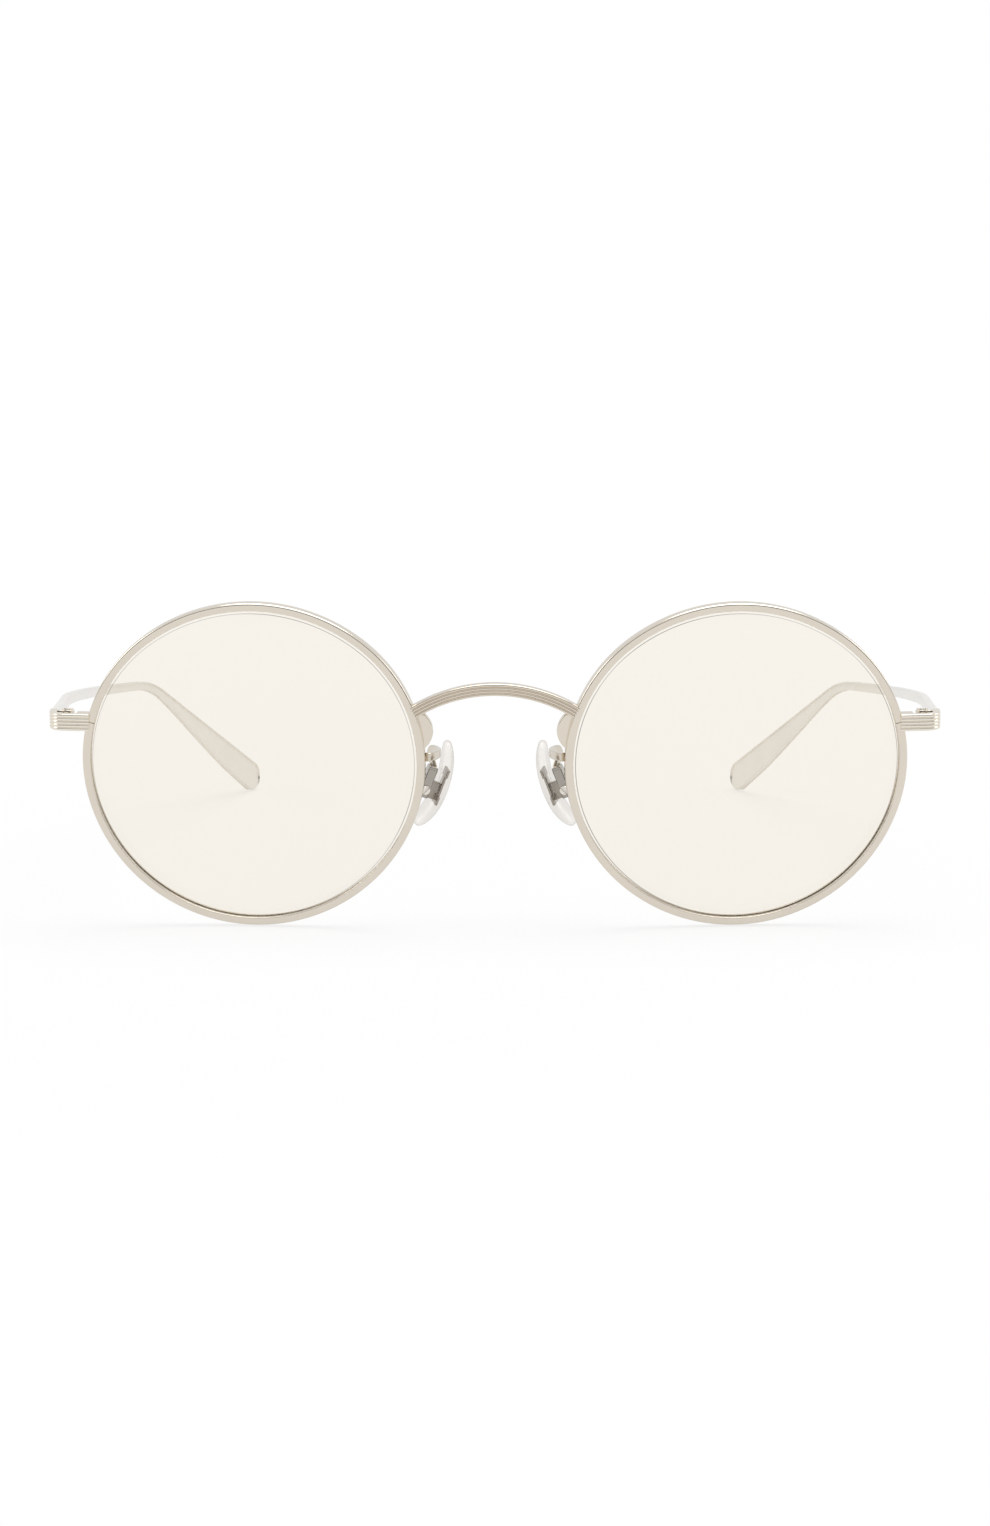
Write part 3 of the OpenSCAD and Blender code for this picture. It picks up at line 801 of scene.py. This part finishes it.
# barrel and screw; heights are from the middle of the hinge, and a leaf is its x, its y and its edge
hingeShape = {
    "barrelR": 1.0,
    "screwR": 0.6,
    "half": 1.25,
    "middle": 0.5,
    "gap": 0.05,
    "edge": 0.09,
    "frontWeb": (0.62, 1.49, -1.15, -0.03),
    "frontLeaf": (1.1, 1.49, -1.15, -0.03),
    "templeWeb": (0.64, 1.44, 0.05, 1.6),
    "templeLeaf": (1.05, 1.47, 1.3, 4.9, -0.85, 0.85),
    "headR": 0.85,
    "headTurn": 35,
}


def slab(x0, x1, y0, y1, z0, z1, edge=0.09):
    # A block with rounded edges between two corners.
    outline = oblong((x1 - x0) / 2, (y1 - y0) / 2, edge * 1.6)
    return puff(outline, z0, z1, edge) + np.array([(x0 + x1) / 2, (y0 + y1) / 2, 0])


def makeHingeFront():
    # Two outer knuckles, the webs that join them to the leaf, and the leaf.
    s = hingeShape
    z, half, bore = s["middle"] + s["gap"], s["half"], s["screwR"] + 0.01
    parts = [
        ring(s["barrelR"], bore, z, half, s["edge"]),
        ring(s["barrelR"], bore, -half, -z, s["edge"]),
        slab(*s["frontWeb"], z, half),
        slab(*s["frontWeb"], -half, -z),
        slab(*s["frontLeaf"], -half, half, 0.05),
    ]
    return carry(parts, inHinge)


def makeHingeTemple():
    # The middle knuckle, its web and its leaf.
    s = hingeShape
    parts = [
        ring(s["barrelR"], s["screwR"] + 0.03, -s["middle"], s["middle"], s["edge"]),
        slab(*s["templeWeb"], -s["middle"], s["middle"]),
        slab(*s["templeLeaf"], 0.12),
    ]
    return carry(parts, inHinge)


def makeHingeScrew():
    # A plain shank through the knuckles and a slotted head on top.
    s = hingeShape
    shank = puff(disc(s["screwR"]), -s["half"] - 0.04, s["half"], 0.08)
    head = slotted(s["headR"], s["half"] + 0.01, s["half"] + 0.3, 0.12, 0.17, 0.06)
    return carry([shank] + [turn(g, "z", s["headTurn"]) for g in head], inHinge)


bothSides("hinge_front", makeHingeFront, "front", "hinge_metal")
bothSides("hinge_temple", makeHingeTemple, "temple", "hinge_metal")
bothSides("hinge_screw", makeHingeScrew, "front", "screw_metal")
print("locks and hinges built")

# ---------------------------------------------------------------- temples

# lengths along the temple from its hinge axis, heights and angles; splay is outward at the hinge,
# and between neck and tip the paddle's profile is (share of its length, height)
templeShape = {
    "out": 2.6,
    "t": 1.2,
    "gap": 0.03,
    "splay": 2.5,
    "inward": 21.5,
    "curveFrom": 45.5,
    "bendAt": 91.5,
    "bendR": 22.0,
    "bendA": 22.3,
    "barH": 2.4,
    "midH": 1.8,
    "midAt": 48.0,
    "neckH": 1.4,
    "paddleL": 40.0,
    "paddleH": 4.8,
    "profile": ((0.1, 1.61), (0.36, 2.88), (0.68, 4.32)),
    "edge": 0.3,
}


def templePlan():
    # x of a face as a function of y in the hinge frame, off being the depth below the outer face: a
    # straight run turned out by the splay, an arc of radius
    # R = (bend - 2 - start) / (sin splay + sin inward), and a straight run in.
    s = templeShape
    full = s["splay"] + s["inward"]
    r = (s["bendAt"] - 2 - s["curveFrom"]) / (math.sin(rad(s["splay"])) + math.sin(rad(s["inward"])))

    def line(off):
        a = np.radians(np.linspace(0, full, 200))
        arc = np.stack([(r - off) * np.cos(a) - r, s["curveFrom"] + (r - off) * np.sin(a)], -1)
        end = arc[-1] + 80 * np.array([-math.sin(rad(full)), math.cos(rad(full))])
        run = np.concatenate([[[-off, -2.0]], arc, [end]])
        c, q = math.cos(rad(-s["splay"])), math.sin(rad(-s["splay"]))
        x = run[:, 0] * c - run[:, 1] * q + s["out"]
        y = run[:, 0] * q + run[:, 1] * c + s["gap"]
        return x, y

    return line


def softened(values, reach):
    # The mean of each value with reach neighbours on both sides.
    n = 2 * reach + 1
    return np.convolve(np.pad(values, reach, "reflect", reflect_type="odd"), np.ones(n) / n, "valid")


def templeSide():
    # Pairs of top and bottom points (y, z) along the temple: a tapering bar, the ear bend's two
    # concentric arcs, and a paddle whose last part is a half circle.
    s = templeShape
    top, bendA, r = s["barH"] / 2, rad(s["bendA"]), s["bendR"]
    y = np.linspace(s["gap"], s["bendAt"], 150)
    height = np.interp(y, [0, s["midAt"], s["bendAt"]], [s["barH"], s["midH"], s["neckH"]])
    tops = [np.stack([y, np.full(len(y), top)], -1)]
    lows = [np.stack([y, top - softened(height, 12)], -1)]
    a = np.linspace(0, bendA, 26)[1:]
    for rows, arcR in ((tops, r), (lows, r - s["neckH"])):
        rows.append(np.stack([s["bendAt"] + arcR * np.sin(a), top - r + arcR * np.cos(a)], -1))
    start = tops[-1][-1]
    along = np.array([math.cos(bendA), -math.sin(bendA)])
    down = np.array([-math.sin(bendA), -math.cos(bendA)])
    tipR = s["paddleH"] / 2
    tipU = s["paddleL"] - tipR
    u = np.linspace(0, tipU, 90)[1:]
    shares, heights = zip((0, s["neckH"]), *s["profile"], (tipU / s["paddleL"], s["paddleH"]))
    w = softened(np.interp(u / s["paddleL"], shares, heights), 8)
    tops.append(start + u[:, None] * along)
    lows.append(start + u[:, None] * along + w[:, None] * down)
    c = np.linspace(0, math.pi / 2, 26)[1:, None]
    centre = start + tipU * along + tipR * down
    tops.append(centre + tipR * (np.sin(c) * along - np.cos(c) * down))
    lows.append(centre + tipR * (np.sin(c) * along + np.cos(c) * down))
    return np.concatenate(tops), np.concatenate(lows)


def makeTemple():
    # Each station has four quarter-circle corners, placed by off across the thickness and by down
    # from the top. All four are walked from the face to the edge, so beside the upper inner and the
    # lower outer corner the section crosses itself: those two are not true roundings.
    s = templeShape
    tops, lows = templeSide()
    height = np.linalg.norm(tops - lows, axis=1)[:, None]
    line = templePlan()
    outX, outY = line(0.0)
    inX, inY = line(s["t"])
    a = np.linspace(math.pi / 2, 0, 7)[None, :]
    edge = np.minimum(s["edge"], height * 0.42)
    across, along = edge * (1 - np.sin(a)), edge * (1 - np.cos(a))
    off = np.concatenate([across, s["t"] - across, s["t"] - across, across], 1)
    down = np.concatenate([along, along, height - along, height - along], 1)
    share = (down / height.clip(1e-6))[..., None]
    y, z = np.moveaxis(tops[:, None] + share * (lows - tops)[:, None], -1, 0)
    xOut, xIn = np.interp(y, outY, outX), np.interp(y, inY, inX)
    x = xOut + (xIn - xOut) * off / s["t"]
    return [(inHinge(closed(np.stack([x, y, z], -1))), True, 0.6, 0.2)]


bothSides("temple", makeTemple, "temple", "temple_metal", sharp=55)
print("temples built")

# ---------------------------------------------------------------- nose pads

# sizes in the pad's own frame: z up the pad, y across it, x away from the nose
padShape = {
    "length": 13.4,
    "wide": 6.8,
    "topShare": 0.36,
    "middle": (0, -0.3),
    "t": 1.8,
    "curve": 14.8,
    "rings": 24,
    "around": 96,
    "axisX": 2.15,
    "axisZ": -1.2,
    "screwR": 0.4,
    "lugHalf": 0.52,
    "boxHalf": 1.2,
    "boxFront": 1.45,
    "boxBack": 2.9,
    "boxTop": 2.4,
    "boxLow": -2.4,
    "fit": 0.1,
    "headR": 0.68,
    "headTurn": 25,
}


def dropOutline(n):
    # Two circles joined by their outer tangents: each direction takes its point from the circle that
    # it meets, and the points are then spread evenly along the outline.
    s = padShape
    r1, r2 = s["wide"] / 2, s["topShare"] * s["wide"]
    c1, c2 = r1 - s["length"] / 2, s["length"] / 2 - r2
    lean = math.asin((r1 - r2) / (c2 - c1))
    a = np.linspace(-math.pi / 2, 1.5 * math.pi, n + 1)
    upper = (a > lean) & (a < math.pi - lean)
    y = np.where(upper, r2, r1) * np.cos(a)
    z = np.where(upper, c2, c1) + np.where(upper, r2, r1) * np.sin(a)
    dense = np.stack([y, z], -1)
    step = np.concatenate([[0], np.cumsum(np.linalg.norm(np.diff(dense, axis=0), axis=1))])
    even = np.linspace(0, step[-1], n + 1)
    return np.stack([np.interp(even, step, dense[:, 0]), np.interp(even, step, dense[:, 1])], -1)


def makePad():
    # A flattened pebble on a curved mid surface: over t from 0 to pi the outline is scaled by
    # sin(t)^0.45 and the half thickness is multiplied by |cos(t)|^0.6 with the sign of cos(t).
    s = padShape
    t = np.linspace(0, math.pi, s["rings"] * 2 + 1)
    scale = np.sin(t) ** 0.45
    scale[0] = scale[-1] = 0
    lift = np.sign(np.cos(t)) * np.abs(np.cos(t)) ** 0.6
    drop = dropOutline(s["around"])
    flat = scale[:, None, None] * (drop - s["middle"])[None] + s["middle"]
    y, z = flat[..., 0], flat[..., 1]
    mid = s["curve"] - np.sqrt(s["curve"] ** 2 - z * z)
    slope = z / s["curve"]
    x = mid + lift[:, None] * s["t"] / 2 * np.sqrt(1 - slope**2)
    z = z - lift[:, None] * s["t"] / 2 * slope
    return [(inPad(np.stack([x, y, z], -1)), False, 0.2, 0.3)]


def screwWay(g):
    # From a screw drawn up z to one lying along the pad's y, head towards the front.
    return turn(g, "x", 90) + np.array([padShape["axisX"], 0, padShape["axisZ"]])


# the plate in the pad: half thickness and half sizes, its ears, and the lug behind it
insertShape = {
    "half": 0.2,
    "y": 1.15,
    "z": 2.8,
    "earFrom": 1.05,
    "earTo": 1.9,
    "earLow": 1.5,
    "edge": 0.08,
    "lug": (0.1, 2.75),
    "lugZ": (-2.3, 0.4),
}


def makeInsert():
    # A thin plate with two ears at each end, standing in the pad, and its lug.
    s, p = insertShape, padShape
    t, near, far, low, high = s["half"], s["earFrom"], s["earTo"], s["earLow"], s["z"]
    parts = [slab(-t, t, -s["y"], s["y"], -high, high, s["edge"])]
    for z0, z1 in ((low, high), (-high, -low)):
        for y0, y1 in ((-far, -near), (near, far)):
            parts.append(slab(-t, t, y0, y1, z0, z1, s["edge"]))
    parts.append(slab(*s["lug"], -p["lugHalf"], p["lugHalf"], *s["lugZ"], 0.12))
    return carry(parts, inPad)


def makeBox():
    # Two cheeks either side of the lug, joined above it.
    s = padShape
    cup, inset, low = s["lugHalf"] + s["fit"], 0.02, 0.95
    front, back, half, top = s["boxFront"], s["boxBack"], s["boxHalf"], s["boxTop"]
    parts = [
        slab(front, back, cup, half, s["boxLow"], top - 0.3, 0.12),
        slab(front, back, -half, -cup, s["boxLow"], top - 0.3, 0.12),
        slab(front + inset, back - inset, inset - half, half - inset, low, top, 0.14),
    ]
    return carry(parts, inPad)


def makePadScrew():
    # A plain shank through the box and a slotted head at the front.
    s = padShape
    shank = puff(disc(s["screwR"], 32), -s["boxHalf"] - 0.05, s["boxHalf"], 0.06)
    head = slotted(s["headR"], s["boxHalf"] + 0.01, s["boxHalf"] + 0.41, 0.1, 0.2, 0.08)
    turned = [turn(g, "z", s["headTurn"]) for g in head]
    return carry([screwWay(g) for g in [shank] + turned], inPad)


# the strip from the rim to the pad box: radius and centre of its sweep, its section, where the sweep
# starts and stops, the radius of the bend down and the point where the strip ends
armShape = {
    "r": 7.3,
    "centre": (15.6, 1.6, 25.537576),
    "h": 1.3,
    "t": 0.7,
    "from": 40.0,
    "to": 28.0,
    "bend": 0.9,
    "end": (9.05, 5.55, 22.9),
    "edge": 0.2,
    "stations": (60, 19, 15),
}


def makeArm():
    # Back round an arc as a standing strip, then through a bend, of
    # sin(b) forward + (1 - cos(b)) down, to run down to the box.
    s = armShape
    sweep, hooked, dropped = s["stations"]
    a = np.radians(np.linspace(-s["from"], s["to"], sweep))[:, None]
    outward, forward = np.array([[-1.0, 0, 0]]), np.array([[0, 1.0, 0]])
    out = np.cos(a) * outward + np.sin(a) * forward
    ahead = np.cos(a) * forward - np.sin(a) * outward
    arc = s["centre"] + s["r"] * out
    b = np.linspace(0, math.pi / 2, hooked + 1)[1:, None]
    down = np.array([0, 0, -1.0])
    hook = arc[-1] + s["bend"] * (np.sin(b) * ahead[-1] + (1 - np.cos(b)) * down)
    hookAhead = np.cos(b) * ahead[-1] + np.sin(b) * down
    drop = hook[-1] + np.linspace(0, 1, dropped + 1)[1:, None] * (s["end"] - hook[-1])
    path = np.concatenate([arc, hook, drop])
    heading = np.concatenate([ahead, hookAhead, np.tile(down, (dropped, 1))])
    side = np.concatenate([out, np.tile(out[-1], (hooked + dropped, 1))])
    up = np.cross(side, heading)
    x, y = s["t"] / 2, s["h"] / 2
    section = roundedPath([(x, y), (-x, y), (-x, -y), (x, -y)], [s["edge"]] * 4)
    grid = path[:, None] + section[None, :, :1] * side[:, None] + section[None, :, 1:] * up[:, None]
    return [(inRow(closed(grid)), True, 0.15, 0.15)]


bothSides("pad_arm", makeArm, "front", "pad_arm_metal")
bothSides("pad_box", makeBox, "front", "pad_box_metal")
bothSides("pad_screw", makePadScrew, "front", "screw_metal")
bothSides("nose_pad", makePad, "nose_pad", "pad_clear", sharp=180)
bothSides("pad_insert", makeInsert, "nose_pad", "pad_box_metal")
print("nose pads built")

# ---------------------------------------------------------------- stage, light and camera

# the floor's own light for each kind of ray, how much it gains where the lamp above fades, the dark
# flag in front (sines between which it starts, stops and begins ahead), the floor's half size and
# how far it lies below the tips in metres, lights as (name, place, aim, size, power)
stageLook = {
    "albedo": 0.20,
    "camera": 0.765,
    "glossy": 0.62,
    "other": 0.45,
    "lost": 0.125,
    "lampHeight": 0.9,
    "world": {"glossy": 0.80, "other": 0.55},
    "flag": (0.02, 0.07, 0.30, 0.40),
    "flagAhead": (0.25, 0.45),
    "flagDark": 0.97,
    "backdrop": 0.995,
    "floorHalf": 30,
    "floorDrop": 0.0002,
    "lights": [
        ("topSoft", (0.1, 0.05, 0.9), (0, 0.0, 0.0), 0.9, 5.2),
        ("leftSoft", (-0.9, -0.2, 0.5), (0, 0.0, 0.03), 0.5, 1.2),
        ("rightSoft", (0.9, 0.1, 0.5), (0, 0.0, 0.03), 0.5, 1.0),
    ],
}


def raysSeen(wire):
    # 1 for a ray from the camera, straight or through a clear piece; and 1 for a mirrored one.
    camera, clear, glossy = [
        wire.node("ShaderNodeLightPath", None, out="Is %s Ray" % kind)
        for kind in ("Camera", "Transmission", "Glossy")
    ]
    return camera.orMore(clear), glossy


def floorMaterial():
    # Pale floor, mostly its own light so the shadow stays faint: glow = base + lost (1 - q^2) with
    # q = 1 / (1 + d^2 / h^2), which makes up for a lamp at height h fading with the distance d.
    k = stageLook
    m, place, _ = newMaterial("floor")
    a = k["albedo"]
    colour = place.noise(900.0, 2.0, 0.5).mix(rgb((a, a, a)), rgb((a, a, a), 1.01))
    lit = place.node("ShaderNodeBsdfDiffuse", None, Color=colour)
    seen, glossy = raysSeen(place)
    base = k["other"] + glossy * (k["glossy"] - k["other"])
    base = base + seen * (k["camera"] - base)
    far = place.node("ShaderNodeVectorMath", {"operation": "LENGTH"}, out="Value", _0=place)
    q = 1.0 / (1.0 + far * far / k["lampHeight"] ** 2)
    power = base + k["lost"] * (1.0 - q * q)
    glow = place.node("ShaderNodeEmission", None, Color=white, Strength=power)
    return finished(m, place.node("ShaderNodeAddShader", None, _0=lit, _1=glow))


floorMesh = bpy.data.meshes.new("floor")
wide, low = stageLook["floorHalf"], -stageLook["floorDrop"]
floorCorners = [(x, y, low) for x, y in ((-wide, -wide), (wide, -wide), (wide, wide), (-wide, wide))]
floorMesh.from_pydata(floorCorners, [], [(0, 1, 2, 3)])
floorMesh.uv_layers.new(name="flow")
floor = bpy.data.objects.new("floor", floorMesh)
bpy.context.scene.collection.objects.link(floor)
floorMesh.materials.append(floorMaterial())

for name, place, aim, size, power in stageLook["lights"]:
    lamp = bpy.data.lights.new(name, "AREA")
    lamp.shape = "DISK"
    lamp.size = size
    lamp.energy = power
    thing = bpy.data.objects.new(name, lamp)
    bpy.context.scene.collection.objects.link(thing)
    away = np.array(place, float) - np.array(aim, float)
    z = away / np.linalg.norm(away)
    x = np.cross((0, 1, 0.01), z)
    x /= np.linalg.norm(x)
    y = np.cross(z, x)
    turned = Matrix(np.stack([x, y, z], 1).tolist()).to_4x4()
    turned.translation = place
    thing.matrix_world = turned

world = bpy.data.worlds.new("studio")
world.use_nodes = True
bpy.context.scene.world = world
wt = world.node_tree
wt.nodes.clear()
coord = Wire(wt, wt.nodes.new("ShaderNodeTexCoord").outputs["Generated"])
seen, glossy = raysSeen(coord)
ahead = coord.node("ShaderNodeSeparateXYZ", None, out="Y", Vector=coord) * -1.0
rise = coord.node("ShaderNodeSeparateXYZ", None, out="Z", Vector=coord)
a, b, c, d = stageLook["flag"]
flag = rise.between(a, b) * (1.0 - rise.between(c, d)) * ahead.between(*stageLook["flagAhead"])
ambient = stageLook["world"]["other"]
mirrored = stageLook["world"]["glossy"] * (1.0 - stageLook["flagDark"] * flag)
strength = ambient + glossy * (mirrored - ambient)
strength = strength + seen * (stageLook["backdrop"] - strength)
background = coord.node("ShaderNodeBackground", None, Color=white, Strength=strength)
worldOut = wt.nodes.new("ShaderNodeOutputWorld")
wt.links.new(background.socket, worldOut.inputs["Surface"])

# how far off the camera stands, the angle at which it looks down, what it looks at, its lens
cameraLook = {"distance": 800.0, "down": 8.3, "aim": (0.0, 1.5, 24.0), "lens": 127.96}
eye = bpy.data.cameras.new("camera")
eye.lens = cameraLook["lens"]
eye.sensor_width = 36.0
eye.clip_start = 0.01
eye.clip_end = 100.0
camera = bpy.data.objects.new("camera", eye)
bpy.context.scene.collection.objects.link(camera)
down = rad(cameraLook["down"])
aim = inRow(np.array(cameraLook["aim"])) * mm
camera.location = aim + cameraLook["distance"] * mm * np.array([0, -math.cos(down), math.sin(down)])
camera.rotation_euler = (math.pi / 2 - down, 0, 0)
bpy.context.scene.camera = camera
bpy.context.scene.view_settings.view_transform = "Standard"
print("stage, light and camera set")
